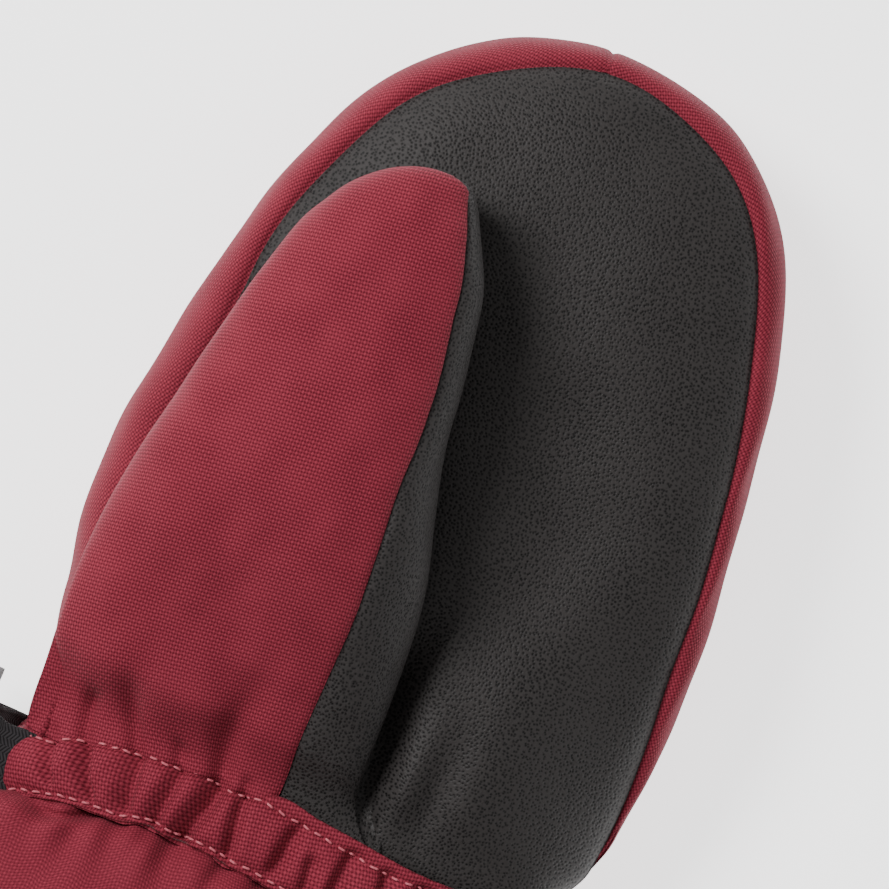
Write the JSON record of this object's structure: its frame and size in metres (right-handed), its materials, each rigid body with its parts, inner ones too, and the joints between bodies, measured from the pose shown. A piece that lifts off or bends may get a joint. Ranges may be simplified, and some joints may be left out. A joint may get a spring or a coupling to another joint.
{
  "type": "ski mitten",
  "caption": "Padded left-hand ski mitten with a leather palm, separate thumb, gathered wrist, webbing strap and gauntlet cuff.",
  "frame": {"origin": "on the flat of the back under the middle of the hand, where the mitten rests on a surface", "axes": "+Y towards the fingertips, +Z out of the palm, -X towards the thumb"},
  "size_m": [0.122, 0.2603, 0.066],
  "materials": {
    "shell_fabric": "dark red plain-weave nylon, matte",
    "palm_leather": "charcoal pebble-grain synthetic leather",
    "binding": "black woven binding",
    "elastic": "white braided elastic",
    "membrane": "thin waterproof film",
    "padding": "polyester wadding",
    "lining": "brushed fleece",
    "webbing": "ribbed nylon webbing",
    "buckle_plastic": "moulded acetal",
    "label": "blank woven label"
  },
  "bodies": {
    "hand": {"palm_panel": "palm_leather", "thumb_root_fabric": "shell_fabric", "thumb_root_leather": "palm_leather", "back_panel": "shell_fabric", "gusset_thumb_side": "shell_fabric", "gusset_little_finger_side": "shell_fabric", "wrist_casing_palm": "shell_fabric", "wrist_casing_back": "shell_fabric", "wrist_elastic": "elastic", "membrane_insert": "membrane", "palm_padding": "padding", "back_padding": "padding", "hand_lining": "lining", "thumb_fold": "shell_fabric", "wrist_strap": "webbing", "strap_loop": "webbing", "buckle_anchor": "webbing"},
    "thumb": {"thumb_fabric": "shell_fabric", "thumb_leather": "palm_leather", "thumb_insert": "membrane", "thumb_padding": "padding", "thumb_lining": "lining"},
    "cuff": {"cuff_palm_panel": "shell_fabric", "cuff_back_panel": "shell_fabric", "wrist_fold_palm": "shell_fabric", "wrist_fold_back": "shell_fabric", "cuff_lining": "lining", "hem_band": "binding", "hem_elastic": "elastic", "hang_loop": "webbing", "care_label": "label"},
    "buckle": {"ladder_buckle": "buckle_plastic"},
    "strap_end": {"strap_tail": "webbing", "strap_pull_tab": "webbing"}
  },
  "joints": [
    {"name": "thumb_lift", "type": "hinge", "parent": "hand", "child": "thumb", "pos_m": [-0.0236, -0.01, 0.058], "axis": [1, 0, 0], "range_deg": [0, 35], "deforming": ["thumb_fold"]},
    {"name": "wrist_bend", "type": "hinge", "parent": "hand", "child": "cuff", "pos_m": [0, -0.088, 0.0225], "axis": [1, 0, 0], "range_deg": [-25, 25], "deforming": ["wrist_fold_palm", "wrist_fold_back"]},
    {"name": "buckle_tilt", "type": "hinge", "parent": "hand", "child": "buckle", "pos_m": [-0.058, -0.079, 0.0297], "axis": [0, 1, 0], "range_deg": [0, 35], "deforming": ["strap_loop"]},
    {"name": "strap_pull", "type": "slide", "parent": "hand", "child": "strap_end", "axis": [1, 0, 0], "range_m": [0, 0.02]}
  ]
}
